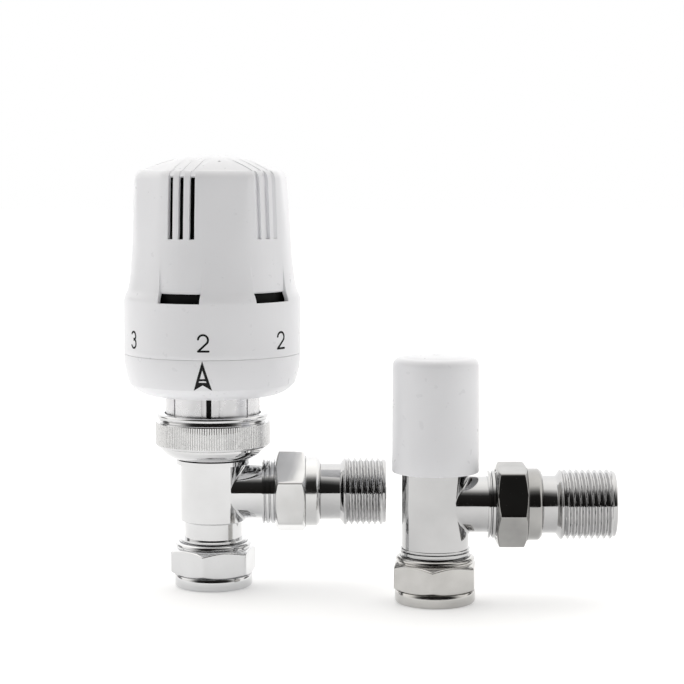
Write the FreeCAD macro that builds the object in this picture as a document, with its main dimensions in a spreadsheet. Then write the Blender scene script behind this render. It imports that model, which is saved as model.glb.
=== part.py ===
import FreeCAD, Part
import os
import re
import Sketcher

# A radiator valve set: an angled thermostatic valve with its sensing head, and the angled
# lockshield valve that goes on the radiator's other end. Millimetres, +Z up. The origin is the
# centre of the thermostatic valve's pipe socket, on the plane both compression nuts stand on.
# Both branches leave along +X.

document = FreeCAD.newDocument("radiator_valve_set")
sheet = document.addObject("Spreadsheet::Sheet", "dims")

DIMENSIONS = {
    # the two valves and where they stand
    "lockshield_x": 68.1,
    "lockshield_y": -24.0,
    "branch_height": 29.6,
    "fit_gap": 0.25,
    # compression nut for 15 mm pipe, and its olive
    "pipe_radius": 7.6,
    "nut_flats": 24.0,
    "nut_foot_radius": 12.1,
    "nut_foot_height": 4.0,
    "nut_top": 12.3,
    "nut_thread_radius": 10.45,
    "nut_thread_pitch": 1.3,
    "nut_thread_depth": 0.8,
    "nut_chamfer": 1.7,
    "nut_land": 0.4,
    "olive_radius": 9.2,
    "olive_bottom": 5.4,
    "olive_top": 10.0,
    "olive_nose": 7.8,
    "olive_crown": 8.9,
    "olive_crown_bottom": 6.5,
    "olive_crown_top": 7.9,
    "body_bottom": 8.5,
    "socket_end": 17.0,
    "half_inch_radius": 10.4775,
    "half_inch_pitch": 1.814,
    "half_inch_depth": 0.9,
    # thermostatic body
    "waist_radius": 8.95,
    "waist_bottom": 15.2,
    "waist_top": 20.3,
    "waist_step": 0.6,
    "barrel_radius": 10.15,
    "barrel_top": 38.6,
    "rim_radius": 11.4,
    "rim_top": 39.9,
    # lockshield body
    "shield_body_radius": 10.05,
    "shield_foot_top": 16.5,
    "shield_body_top": 40.0,
    # inside of both bodies
    "seat_height": 23.5,
    "seat_radius": 5.0,
    "chamber_radius": 8.0,
    "chamber_top": 33.0,
    "bonnet_hole": 8.7,
    # branch, union nut and tail
    "branch_radius": 8.4,
    "branch_bore": 5.5,
    "branch_blend": 0.8,
    "branch_length": 25.0,
    "union_thread_start": 15.5,
    "union_thread_radius": 10.2,
    "union_pitch": 1.5,
    "spigot_hole": 8.9,
    "spigot_start": 20.0,
    "union_flats": 23.0,
    "union_length": 9.3,
    "nose_radius": 10.8,
    "nose_length": 4.4,
    "union_bore": 10.6,
    "union_chamfer": 1.5,
    "union_land": 0.5,
    "tail_radius": 8.65,
    "tail_bore": 6.0,
    "tail_start": 20.4,
    "tail_end": 53.7,
    "tail_key_flats": 12.2,
    "tail_key_depth": 9.0,
    "oring_groove": 21.5,
    "oring_width": 1.9,
    "oring_inner": 7.3,
    "oring_outer": 8.85,
    "snap_groove": 25.5,
    "snap_width": 1.2,
    "snap_inner": 8.05,
    "snap_outer": 10.3,
    # thermostatic bonnet: bowl, M30 hub and what runs in it
    "shank_radius": 8.6,
    "bowl_foot_radius": 10.9,
    "bowl_foot": 40.2,
    "bowl_radius": 15.9,
    "bowl_arc": 6.2,
    "bowl_top": 43.3,
    "hub_radius": 14.95,
    "hub_top": 50.0,
    "hub_thread_start": 46.2,
    "hub_pitch": 1.5,
    "hub_thread_depth": 0.7,
    "spring_pocket_radius": 5.8,
    "spring_pocket_top": 38.0,
    "spring_room": 2.1,
    "pin_radius": 1.5,
    "pin_hole": 1.7,
    "pin_top": 53.0,
    "pin_collar": 2.6,
    "gland_bottom": 45.0,
    "gland_radius": 4.5,
    "gland_flats": 10.0,
    "packing_height": 1.8,
    "seal_bottom": 24.9,
    "seal_thick": 1.6,
    "seal_radius": 6.5,
    "seal_bore": 1.2,
    "rivet_height": 0.6,
    "disc_thick": 1.6,
    "spring_wire": 0.8,
    "spring_radius": 4.6,
    # coupling nut and neck of the head
    "coupling_bottom": 44.1,
    "coupling_radius": 17.7,
    "coupling_band_top": 52.0,
    "coupling_lip_radius": 17.0,
    "coupling_top": 54.4,
    "coupling_thread": 15.2,
    "coupling_recess": 16.2,
    "recess_bottom": 50.9,
    "recess_top": 52.8,
    "neck_radius": 14.5,
    "neck_bore": 12.4,
    "neck_bottom": 50.02,
    "neck_flange": 17.5,
    "clip_groove": 13.6,
    "clip_bottom": 51.3,
    "clip_thick": 1.0,
    "stripe_width": 1.55,
    "stripe_angle": -1.3,
    # fixed pointer ring and guide
    "ring_bottom": 60.4,
    "ring_radius": 27.2,
    "ring_top": 73.1,
    "ring_wall": 2.0,
    "ring_floor": 63.0,
    "ring_foot_radius": 19.5,
    "ring_cheek_radius": 25.5,
    "ring_cheek_height": 3.5,
    "ring_cheek_arc": 9.5,
    "ring_side_arc": 26.0,
    "guide_floor": 64.6,
    "guide_bore": 13.6,
    "guide_radius": 15.2,
    "guide_top": 99.0,
    "guide_flange": 22.5,
    "guide_flange_top": 67.0,
    "collar_bottom": 76.0,
    "collar_top": 78.0,
    "collar_radius": 19.4,
    # turning head
    "head_bottom": 73.5,
    "head_radius": 27.2,
    "head_step": 90.0,
    "head_shoulder": 126.4,
    "head_shoulder_radius": 23.6,
    "head_top": 134.0,
    "head_step_radius": 26.1,
    "head_step_rise": 2.8,
    "head_step_arc": 8.0,
    "head_flare_radius": 24.9,
    "head_flare_top": 101.0,
    "head_flare_arc": 60.0,
    "head_waist_radius": 24.2,
    "head_waist": 115.0,
    "dome_radius": 21.4,
    "dome_edge": 129.05,
    "shoulder_arc": 3.2,
    "head_wall": 2.3,
    "hollow_step_radius": 23.4,
    "hollow_step": 93.5,
    "hollow_flare_radius": 22.6,
    "hollow_top_radius": 20.3,
    "hollow_top": 126.0,
    "hollow_dome_radius": 18.8,
    "hollow_dome_edge": 127.6,
    "roof_thick": 2.4,
    "corner_angle": -22.0,
    "corner_count": 5.0,
    "flat_top_apothem": 22.5,
    "flat_foot_apothem": 25.9,
    "flat_top": 127.0,
    "flat_foot": 93.0,
    "slot_width": 1.55,
    "slot_pitch": 3.5,
    "slot_bottom": 109.0,
    "slot_top": 128.6,
    "window_width": 13.4,
    "window_bottom": 89.9,
    "window_top": 93.1,
    "hook_top": 80.0,
    "cage_bore": 17.4,
    "cage_radius": 19.0,
    "cage_top": 125.5,
    "cage_slot_bottom": 96.0,
    "cage_slot_width": 3.2,
    "cage_slot_count": 15.0,
    # sensor and its carrier
    "sensor_radius": 11.0,
    "sensor_bottom": 82.0,
    "sensor_top": 110.0,
    "carrier_floor": 80.0,
    "carrier_radius": 12.8,
    "carrier_top": 117.6,
    "carrier_bore": 5.1,
    "lug_bottom": 86.0,
    "lug_top": 90.0,
    "lug_reach": 17.0,
    "lug_width": 3.6,
    "thrust_radius": 3.0,
    "thrust_foot": 53.1,
    "thrust_foot_radius": 5.2,
    "overtravel_radius": 7.6,
    "overtravel_wire": 1.2,
    "spring_cap_thick": 1.8,
    # lockshield bonnet, spindle and cap
    "shield_hex_flats": 18.0,
    "shield_hex_top": 45.0,
    "boss_radius": 8.0,
    "boss_top": 52.0,
    "shield_gland_flats": 14.0,
    "shield_gland_top": 56.0,
    "shield_gland_radius": 5.5,
    "shield_packing": 48.8,
    "shield_packing_top": 50.45,
    "spindle_radius": 3.2,
    "screw_radius": 4.0,
    "screw_bottom": 35.0,
    "screw_top": 43.0,
    "screw_hole_top": 46.0,
    "spindle_square": 4.6,
    "spindle_top": 63.0,
    "jumper_bottom": 25.1,
    "jumper_seat": 26.6,
    "jumper_pocket": 2.2,
    "cap_radius": 13.0,
    "cap_bottom": 39.5,
    "cap_top": 74.6,
    "cap_wall": 2.0,
    "cap_roof": 2.4,
    "cap_edge": 2.7,
    "socket_wall": 1.5,
    "socket_bottom": 46.2,
}

for row, (alias, size) in enumerate(DIMENSIONS.items(), start=1):
    sheet.set(f"A{row}", alias.replace("_", " "))
    sheet.set(f"B{row}", str(size))
    sheet.setAlias(f"B{row}", alias)
document.recompute()


def cell(text):
    """Turn an expression in plain aliases into one that reads the sheet."""
    return re.sub(r"[a-z_]+[a-z]", lambda word: "dims." + word[0] if word[0] in DIMENSIONS else word[0], text)


def value(text):
    return float(document.Objects[-1].evalExpression(cell(text)))


# ---------------------------------------------------------------- sketches and features

def new_body(label, place=("0", "0", "0"), turn="0"):
    """An empty body whose place, and turn about Z in degrees, follow the sheet."""
    body = document.addObject("PartDesign::Body", label)
    body.Label = label
    for axis, text in zip("xyz", place):
        body.setExpression(f"Placement.Base.{axis}", cell(text))
    body.Placement.Rotation = FreeCAD.Rotation(FreeCAD.Vector(0, 0, 1), 0)
    body.setExpression("Placement.Rotation.Angle", cell(turn))
    return body


def new_sketch(body, plane, offset="0"):
    sketch = body.newObject("Sketcher::SketchObject", "outline")
    origin = [item for item in body.Origin.OriginFeatures if item.Role == plane][0]
    sketch.AttachmentSupport = [(origin, "")]
    sketch.MapMode = "FlatFace"
    sketch.setExpression("AttachmentOffset.Base.z", cell(offset))
    return sketch


def bind(sketch, index, text):
    sketch.setExpression(f"Constraints[{index}]", cell(text))


def place_point(sketch, edge, end, kind, text):
    """Hold one end of an edge at a distance from the sketch's own axes."""
    size = value(text)
    if abs(size) < 1e-9:
        axis = -2 if kind == "DistanceX" else -1
        sketch.addConstraint(Sketcher.Constraint("PointOnObject", edge, end, axis))
    elif size > 0:
        bind(sketch, sketch.addConstraint(Sketcher.Constraint(kind, -1, 1, edge, end, size)), text)
    else:
        constraint = Sketcher.Constraint(kind, edge, end, -1, 1, -size)
        bind(sketch, sketch.addConstraint(constraint), f"-({text})")


def arc_about(centre, start, end, side):
    """The arc from start to end round a centre that lies on the given side of the way."""
    circle = Part.Circle(centre, FreeCAD.Vector(0, 0, 1), (start - centre).Length)
    ends = (start, end) if side == "left" else (end, start)
    return Part.ArcOfCircle(circle, *[circle.parameter(point) for point in ends])


def centre_of(start, end, radius, side):
    chord = end - start
    normal = FreeCAD.Vector(-chord.y, chord.x, 0).normalize()
    rise = max(radius * radius - chord.Length ** 2 / 4, 0) ** 0.5
    return (start + end) * 0.5 + normal * (rise if side == "left" else -rise)


def centre_on_axis(start, end):
    """The centre, on the upright axis, of a dome that passes through both points."""
    height = (start.x ** 2 + start.y ** 2 - end.x ** 2 - end.y ** 2) / (2 * (start.y - end.y))
    return FreeCAD.Vector(0, height, 0)


def outline(sketch, corners):
    """A closed outline of (x, y) corners. An arc leads to a corner that adds its radius and the side
    its centre is on, or the word dome in the radius's place where that centre is on the axis."""
    spots = [FreeCAD.Vector(value(corner[0]), value(corner[1]), 0) for corner in corners]
    edges = []
    for index, corner in enumerate(corners):
        start, end = spots[index - 1], spots[index]
        if len(corner) == 2:
            edge = sketch.addGeometry(Part.LineSegment(start, end))
            edges.append((edge, 1, 2))
            continue
        size, side = corner[2:]
        centre = centre_on_axis(start, end) if size == "dome" else centre_of(start, end, value(size), side)
        edge = sketch.addGeometry(arc_about(centre, start, end, side))
        edges.append((edge, 1, 2) if side == "left" else (edge, 2, 1))
        if size == "dome":
            sketch.addConstraint(Sketcher.Constraint("PointOnObject", edge, 3, -2))
        else:
            bind(sketch, sketch.addConstraint(Sketcher.Constraint("Radius", edge, value(size))), size)
    for index, (edge, first, last) in enumerate(edges):
        following = edges[(index + 1) % len(edges)]
        sketch.addConstraint(Sketcher.Constraint("Coincident", edge, last, following[0], following[1]))
        place_point(sketch, edge, last, "DistanceX", corners[index][0])
        place_point(sketch, edge, last, "DistanceY", corners[index][1])


def circle(sketch, radius, x="0", y="0"):
    centre = FreeCAD.Vector(value(x), value(y), 0)
    shape = Part.Circle(centre, FreeCAD.Vector(0, 0, 1), value(radius))
    edge = sketch.addGeometry(shape)
    place_point(sketch, edge, 3, "DistanceX", x)
    place_point(sketch, edge, 3, "DistanceY", y)
    bind(sketch, sketch.addConstraint(Sketcher.Constraint("Radius", edge, value(radius))), radius)


def hexagon(flats):
    """Corners of a hexagon with two flats facing sketch Y."""
    reach = f"({flats}) / sqrt(3)"
    return [(f"{reach} * cos({angle})", f"{reach} * sin({angle})") for angle in range(0, 360, 60)]


def rectangle(left, bottom, right, top):
    return [(left, bottom), (right, bottom), (right, top), (left, top)]


def turned(body, corners, axis="V_Axis", cut=False, height="0"):
    """Turn an outline in the XZ plane about an axis; height shifts its Y values down."""
    sketch = new_sketch(body, "XZ_Plane")
    if height != "0":
        corners = [(corner[0], f"{corner[1]} - {height}", *corner[2:]) for corner in corners]
    outline(sketch, corners)
    feature = body.newObject("PartDesign::Groove" if cut else "PartDesign::Revolution", "turned")
    feature.Profile = sketch
    feature.ReferenceAxis = (sketch, [axis])
    feature.Angle = 360
    return feature


def extruded(body, plane, shape, start, length, cut=False):
    """Pad or pocket a shape, drawn by a function, from an offset of a plane along its normal."""
    sketch = new_sketch(body, plane, start)
    shape(sketch)
    feature = body.newObject("PartDesign::Pocket" if cut else "PartDesign::Pad", "extruded")
    feature.Profile = sketch
    feature.setExpression("Length", cell(length))
    feature.Reversed = cut
    return feature


def block(body, plane, sides, start, length, cut=False):
    """A box: its left, bottom, right and top on the plane, then where it starts and how long it is."""
    return extruded(body, plane, lambda sketch: outline(sketch, rectangle(*sides)), start, length, cut)


def polar(body, feature, count, degrees=360):
    pattern = body.newObject("PartDesign::PolarPattern", "around")
    pattern.Originals = [feature]
    axis = [item for item in body.Origin.OriginFeatures if item.Role == "Z_Axis"][0]
    pattern.Axis = (axis, [""])
    pattern.Angle = degrees
    pattern.setExpression("Occurrences", cell(count))
    body.Tip = pattern
    return pattern


def linear(body, feature, role, spacing, count):
    pattern = body.newObject("PartDesign::LinearPattern", "along")
    pattern.Originals = [feature]
    axis = [item for item in body.Origin.OriginFeatures if item.Role == role][0]
    pattern.Direction = (axis, [""])
    pattern.setExpression("Length", cell(f"({spacing}) * ({count} - 1)"))
    pattern.Occurrences = count
    body.Tip = pattern
    return pattern


def ring(label, inner, outer, bottom, top, place=("0", "0", "0")):
    """A plain turned ring."""
    body = new_body(label, place)
    turned(body, rectangle(inner, bottom, outer, top))
    return body


def lying_ring(label, inner, outer, start, width, place):
    """A plain ring about the branch axis."""
    body = new_body(label, place)
    turned(body, rectangle(start, inner, f"{start} + {width}", outer), "H_Axis")
    return body


def thread_groove(start, pitch, radius, depth, axis):
    """One V of a thread: wide at the crest, narrow at the root."""
    low, high = f"{start} + {pitch} * 0.19", f"{start} + {pitch} * 0.81"
    root_low, root_high = f"{start} + {pitch} * 0.44", f"{start} + {pitch} * 0.56"
    root, crest = f"{radius} - {depth}", f"{radius} + 0.3"
    corners = [(crest, low), (root, root_low), (root, root_high), (crest, high)]
    return corners if axis == "V_Axis" else [(along, across) for across, along in corners]


# ---------------------------------------------------------------- parts both valves share

VALVES = {
    "trv": {"place": ("0", "0", "0"), "nut_turn": "-10.6 + 30", "union_turn": -19, "union_start": "19.6",
            "tail_thread": "39.7", "threads": 7, "foot_threads": 2},
    "ls": {"place": ("lockshield_x", "lockshield_y", "0"), "nut_turn": "-5.6 + 30", "union_turn": 8,
           "union_start": "18.0", "tail_thread": "36.1", "threads": 9, "foot_threads": 3},
}


def make_compression_nut(name, valve):
    """Hexagon nut on a round foot: pipe hole below, olive seat, then the thread."""
    body = new_body(f"{name}_compression_nut", valve["place"], valve["nut_turn"])
    extruded(body, "XY_Plane", lambda sketch: outline(sketch, hexagon("nut_flats")),
             "nut_foot_height", "nut_top - nut_foot_height")
    corner = "nut_flats / sqrt(3)"
    turned(body, [("nut_flats / 2 - nut_land", "nut_top"), (f"{corner} + 1", "nut_top"),
                  (f"{corner} + 1", "nut_top - nut_chamfer")], cut=True)
    turned(body, [("nut_flats / 2 - nut_land", "nut_foot_height"),
                  (f"{corner} + 1", "nut_foot_height + nut_chamfer"),
                  (f"{corner} + 1", "nut_foot_height")], cut=True)
    turned(body, [("0", "0"), ("nut_foot_radius - 0.8", "0"), ("nut_foot_radius", "0.8"),
                  ("nut_foot_radius", "nut_foot_height + 0.5"), ("0", "nut_foot_height + 0.5")])
    turned(body, [("0", "-1"), ("pipe_radius", "-1"), ("pipe_radius", "olive_bottom - 0.4"),
                  ("olive_radius + 0.2", "olive_bottom + 1.4"), ("nut_thread_radius", "body_bottom - 0.3"),
                  ("nut_thread_radius", "nut_top + 1"), ("0", "nut_top + 1")], cut=True)
    return body


def make_olive(name, valve):
    """Brass ring with two sloped ends, squeezed on to the pipe by the nut."""
    body = new_body(f"{name}_olive", valve["place"])
    turned(body, [("pipe_radius", "olive_bottom"), ("olive_nose", "olive_bottom"),
                  ("olive_crown", "olive_crown_bottom"), ("olive_crown", "olive_crown_top"),
                  ("olive_nose", "olive_top"), ("pipe_radius", "olive_top")])
    return body


def blend_branch(body, branch):
    """Round the inside corner where the branch leaves the upright barrel."""
    document.recompute()
    seam = [f"Edge{number}" for number, edge in enumerate(branch.Shape.Edges, start=1)
            if edge.Curve.TypeId == "Part::GeomBSplineCurve"]
    fillet = body.newObject("PartDesign::Fillet", "blend")
    fillet.Base = (branch, seam)
    fillet.setExpression("Radius", cell("branch_blend"))


def make_valve_body(label, valve, outside):
    """Forged brass body. Its own origin is where the upright and the branch axes cross."""
    body = new_body(label, valve["place"][:2] + ("branch_height",))
    turned(body, outside, height="branch_height")
    branch = extruded(body, "YZ_Plane", lambda sketch: circle(sketch, "branch_radius"),
                      "0", "union_thread_start + 0.6")
    blend_branch(body, branch)
    extruded(body, "YZ_Plane", lambda sketch: circle(sketch, "union_thread_radius"),
             "union_thread_start", "branch_length - union_thread_start")
    turned(body, [("0", "olive_bottom"), ("olive_radius", "olive_bottom"), ("olive_radius", "body_bottom"),
                  ("pipe_radius", "body_bottom + 2.4"), ("pipe_radius", "socket_end"),
                  ("seat_radius", "socket_end"), ("seat_radius", "seat_height"),
                  ("chamber_radius - 1.4", "seat_height - 1.6"), ("chamber_radius", "seat_height - 1.6"),
                  ("chamber_radius", "chamber_top"), ("bonnet_hole", "chamber_top"),
                  ("bonnet_hole", "shield_body_top + 4"), ("0", "shield_body_top + 4")],
           cut=True, height="branch_height")
    extruded(body, "YZ_Plane", lambda sketch: circle(sketch, "branch_bore"),
             "0", "branch_length + 1", cut=True)
    extruded(body, "YZ_Plane", lambda sketch: circle(sketch, "spigot_hole"),
             "spigot_start", "branch_length", cut=True)
    groove = turned(body, thread_groove("nut_top + 0.3", "nut_thread_pitch", "half_inch_radius",
                                        "nut_thread_depth", "V_Axis"), cut=True, height="branch_height")
    linear(body, groove, "Z_Axis", "nut_thread_pitch", valve["foot_threads"])
    groove = turned(body, thread_groove("union_thread_start + 0.2", "union_pitch", "union_thread_radius",
                                        "0.8", "H_Axis"), "H_Axis", cut=True)
    linear(body, groove, "X_Axis", "union_pitch", 3)
    return body


def make_union_nut(name, valve):
    """Hexagon union nut with a round nose that closes on the tail behind its snap ring."""
    body = new_body(f"{name}_union_nut", valve["place"][:2] + ("branch_height",))
    start = valve["union_start"]
    end = f"{start} + union_length"
    turn = valve["union_turn"]
    reach = "union_flats / sqrt(3)"
    corners = [(f"{reach} * cos({angle + turn})", f"{reach} * sin({angle + turn})")
               for angle in range(0, 360, 60)]
    extruded(body, "YZ_Plane", lambda sketch: outline(sketch, corners), start, "union_length")
    turned(body, [(start, "union_flats / 2 - union_land"), (f"{start} + union_chamfer", f"{reach} + 0.8"),
                  (start, f"{reach} + 0.8")], "H_Axis", cut=True)
    turned(body, [(end, "union_flats / 2 - union_land"), (end, f"{reach} + 0.8"),
                  (f"{end} - union_chamfer", f"{reach} + 0.8")], "H_Axis", cut=True)
    nose_end = f"{end} + nose_length"
    turned(body, [(f"{end} - 0.5", "0"), (f"{end} - 0.5", "nose_radius"), (f"{nose_end} - 1", "nose_radius"),
                  (nose_end, "nose_radius - 1"), (nose_end, "0")], "H_Axis")
    wall = "snap_groove + snap_width + 0.3"
    turned(body, [(f"{start} - 1", "0"), (f"{start} - 1", "union_bore"), (wall, "union_bore"),
                  (wall, "tail_radius + fit_gap"), (f"{nose_end} + 1", "tail_radius + fit_gap"),
                  (f"{nose_end} + 1", "0")], "H_Axis", cut=True)
    return body


def make_tail(name, valve):
    """Tail that screws into the radiator: plain spigot, neck and half inch thread."""
    place = valve["place"][:2] + ("branch_height",)
    body = new_body(f"{name}_tail", place)
    thread = valve["tail_thread"]
    groove_end = "oring_groove + oring_width"
    snap_end = "snap_groove + snap_width"
    turned(body, [("tail_start", "tail_bore"), ("tail_start", "tail_radius"), ("oring_groove", "tail_radius"),
                  ("oring_groove", "oring_inner"), (groove_end, "oring_inner"), (groove_end, "tail_radius"),
                  ("snap_groove", "tail_radius"), ("snap_groove", "snap_inner"), (snap_end, "snap_inner"),
                  (snap_end, "tail_radius"), (thread, "tail_radius"), (f"{thread} + 1", "half_inch_radius"),
                  ("tail_end - 1.2", "half_inch_radius"), ("tail_end", "half_inch_radius - 1.2"),
                  ("tail_end", "tail_bore")], "H_Axis")
    groove = turned(body, thread_groove(f"{thread} + 0.4", "half_inch_pitch", "half_inch_radius",
                                        "half_inch_depth", "H_Axis"), "H_Axis", cut=True)
    linear(body, groove, "X_Axis", "half_inch_pitch", valve["threads"])
    extruded(body, "YZ_Plane", lambda sketch: outline(sketch, hexagon("tail_key_flats")),
             "tail_end - tail_key_depth", "tail_key_depth + 1", cut=True)
    lying_ring(f"{name}_tail_oring", "oring_inner", "oring_outer", "oring_groove + 0.1",
               "oring_width - 0.2", place)
    clip = lying_ring(f"{name}_snap_ring", "snap_inner + 0.05", "snap_outer", "snap_groove + 0.1",
                      "snap_width - 0.2", place)
    block(clip, "XY_Plane", ("snap_groove - 1", "-1.2", f"{snap_end} + 1", "1.2"), "0", "20", cut=True)
    return body


for name, valve in VALVES.items():
    make_compression_nut(name, valve)
    make_olive(name, valve)
    make_union_nut(name, valve)
    make_tail(name, valve)

THREADED_FOOT = [("0", "body_bottom"), ("nut_thread_radius - fit_gap - 0.5", "body_bottom"),
                 ("nut_thread_radius - fit_gap", "body_bottom + 0.5"),
                 ("nut_thread_radius - fit_gap", "nut_top + 0.2"),
                 ("half_inch_radius", "nut_top + 0.2")]

trv_outside = THREADED_FOOT + [
    ("half_inch_radius", "waist_bottom"), ("waist_radius", "waist_bottom"), ("waist_radius", "waist_top"),
    ("barrel_radius", "waist_top + waist_step"), ("barrel_radius", "barrel_top"),
    ("rim_radius", "barrel_top"), ("rim_radius", "rim_top"), ("0", "rim_top")]
make_valve_body("trv_body", VALVES["trv"], trv_outside)

shield_outside = THREADED_FOOT + [
    ("half_inch_radius", "shield_foot_top"), ("shield_body_radius", "shield_foot_top"),
    ("shield_body_radius", "shield_body_top"), ("0", "shield_body_top")]
make_valve_body("ls_body", VALVES["ls"], shield_outside)

# ---------------------------------------------------------------- thermostatic bonnet and its works

bonnet = new_body("trv_bonnet")
turned(bonnet, [("0", "chamber_top"), ("shank_radius", "chamber_top"), ("shank_radius", "rim_top + 0.1"),
                ("bowl_foot_radius", "bowl_foot"), ("bowl_radius", "bowl_top", "bowl_arc", "left"),
                ("bowl_radius", "coupling_bottom - 0.2"), ("hub_radius", "coupling_bottom - 0.2"),
                ("hub_radius", "hub_top - 0.6"), ("hub_radius - 0.6", "hub_top"), ("0", "hub_top")])
turned(bonnet, [("0", "chamber_top - 1"), ("spring_pocket_radius", "chamber_top - 1"),
                ("spring_pocket_radius", "spring_pocket_top"), ("pin_hole", "spring_pocket_top"),
                ("pin_hole", "gland_bottom - packing_height"),
                ("gland_radius", "gland_bottom - packing_height"),
                ("gland_radius", "hub_top + 1"), ("0", "hub_top + 1")], cut=True)
hub_groove = thread_groove("hub_thread_start", "hub_pitch", "hub_radius", "hub_thread_depth", "V_Axis")
groove = turned(bonnet, hub_groove, cut=True)
linear(bonnet, groove, "Z_Axis", "hub_pitch", 2)


def bonnet_oring(label, place=("0", "0", "0")):
    """The seal between the bonnet's shank and the chamber it screws into."""
    ring(label, "chamber_radius - 1.4", "chamber_radius - 0.05",
         "chamber_top - 1.4", "chamber_top - 0.05", place)


bonnet_oring("trv_bonnet_oring")
ring("trv_spindle_oring", "pin_radius + 0.02", "gland_radius - 0.05",
     "gland_bottom - packing_height + 0.1", "gland_bottom - 0.05")

gland = new_body("trv_gland")
turned(gland, rectangle("pin_hole", "gland_bottom", "gland_radius - 0.05", "hub_top + 0.1"))
extruded(gland, "XY_Plane", lambda sketch: outline(sketch, hexagon("gland_flats")), "hub_top + 0.1", "1")
turned(gland, rectangle("0", "gland_bottom - 1", "pin_hole", "hub_top + 3"), cut=True)

plug_foot = "seal_bottom + seal_thick"
plug_top = "seal_bottom + seal_thick + disc_thick"
ring("valve_seal", "seal_bore", "seal_radius", "seal_bottom", plug_foot)
disc = new_body("valve_disc")
turned(disc, [("0", "seal_bottom - rivet_height"), ("seal_bore - 0.05", "seal_bottom - rivet_height"),
              ("seal_bore - 0.05", plug_foot),
              ("seal_radius + 0.1", plug_foot), ("seal_radius + 0.1", plug_top), ("0", plug_top)])
spindle = new_body("valve_spindle")
turned(spindle, [("0", plug_top), ("pin_collar", plug_top), ("pin_collar", f"{plug_top} + 1"),
                 ("pin_radius", f"{plug_top} + 1"),
                 ("pin_radius", "pin_top - 0.4"), ("pin_radius - 0.4", "pin_top"), ("0", "pin_top")])


def coil_spring(label, radius, wire, bottom, top, turns):
    """A round wire spring wound along Z between two heights."""
    body = new_body(label)
    sketch = new_sketch(body, "XZ_Plane")
    circle(sketch, f"{wire} / 2", radius, f"{bottom} + {wire} / 2 + 0.05")
    coil = body.newObject("PartDesign::AdditiveHelix", "coil")
    coil.Profile = sketch
    coil.ReferenceAxis = (sketch, ["V_Axis"])
    coil.Mode = "height-turns-angle"
    coil.setExpression("Height", cell(f"{top} - ({bottom}) - {wire} - 0.1"))
    coil.Turns = turns
    return body


coil_spring("spindle_spring", "spring_radius", "spring_wire", plug_top,
            "spring_pocket_top - spring_room", 5)

# ---------------------------------------------------------------- coupling nut and neck

coupling = new_body("coupling_nut")
turned(coupling, [("coupling_thread", "coupling_bottom"), ("coupling_radius - 0.7", "coupling_bottom"),
                  ("coupling_radius", "coupling_bottom + 0.6"),
                  ("coupling_radius", "coupling_band_top - 0.3"),
                  ("coupling_lip_radius", "coupling_band_top"), ("coupling_lip_radius", "coupling_top - 0.8"),
                  ("coupling_lip_radius - 0.6", "coupling_top"), ("neck_radius + 0.4", "coupling_top"),
                  ("neck_radius + 0.4", "recess_top"), ("coupling_recess", "recess_top"),
                  ("coupling_recess", "recess_bottom"), ("coupling_thread", "recess_bottom")])

clip = ring("coupling_circlip", "clip_groove + 0.05", "coupling_recess - 0.3", "clip_bottom",
            "clip_bottom + clip_thick")
block(clip, "XY_Plane", ("-2", "5", "2", "20"), "clip_bottom - 1", "clip_thick + 2", cut=True)

neck = new_body("neck_sleeve", turn="stripe_angle")
turned(neck, [("neck_bore", "neck_bottom"), ("neck_radius - 0.2", "neck_bottom"),
              ("neck_radius - 0.2", "clip_bottom - 0.05"),
              ("clip_groove", "clip_bottom - 0.05"), ("clip_groove", "clip_bottom + clip_thick + 0.05"),
              ("neck_radius - 0.2", "clip_bottom + clip_thick + 0.05"), ("neck_radius - 0.2", "recess_top"),
              ("neck_radius", "recess_top + 0.2"), ("neck_radius", "ring_bottom - 0.1"),
              ("neck_radius - 0.1", "ring_bottom"), ("neck_radius - 0.1", "ring_floor"),
              ("neck_flange", "ring_floor"), ("neck_flange", "guide_floor"), ("neck_bore", "guide_floor")])
block(neck, "XY_Plane",
      ("-stripe_width / 2 - 0.05", "-neck_radius - 5", "stripe_width / 2 + 0.05", "-(neck_radius - 0.5)"),
      "coupling_top - 0.5", "ring_bottom - coupling_top + 0.5", cut=True)

strip = new_body("index_strip", turn="stripe_angle")
block(strip, "XY_Plane",
      ("-stripe_width / 2", "-(neck_radius + 0.05)", "stripe_width / 2", "-(neck_radius - 0.48)"),
      "coupling_top - 0.4", "ring_bottom - coupling_top + 0.3")

# ---------------------------------------------------------------- fixed pointer ring and guide

pointer = new_body("pointer_ring")
turned(pointer, [("neck_radius + 0.1", "ring_bottom"), ("ring_foot_radius", "ring_bottom"),
                 ("ring_cheek_radius", "ring_bottom + ring_cheek_height", "ring_cheek_arc", "left"),
                 ("ring_radius", "ring_top - 0.9", "ring_side_arc", "left"),
                 ("ring_radius", "ring_top"), ("ring_radius - ring_wall", "ring_top"),
                 ("ring_radius - ring_wall", "ring_floor + 3.2"),
                 ("ring_radius - ring_wall - 2", "ring_floor"),
                 ("neck_radius + 0.1", "ring_floor")])

guide = new_body("guide_cage")
turned(guide, [("thrust_radius + 0.3", "guide_floor"), ("guide_flange", "guide_floor"),
               ("guide_flange", "guide_flange_top"), ("guide_radius", "guide_flange_top"),
               ("guide_radius", "collar_bottom"), ("collar_radius", "collar_bottom"),
               ("collar_radius", "collar_top"), ("guide_radius", "collar_top"), ("guide_radius", "guide_top"),
               ("guide_bore", "guide_top"), ("guide_bore", "guide_flange_top"),
               ("thrust_radius + 0.3", "guide_flange_top")])
slot = block(guide, "XY_Plane",
             ("guide_bore - 2", "-lug_width / 2 - 0.4", "guide_radius + 1", "lug_width / 2 + 0.4"),
             "lug_bottom - 3.5", "guide_top - lug_bottom + 5", cut=True)
polar(guide, slot, "3")

# ---------------------------------------------------------------- turning head

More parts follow.
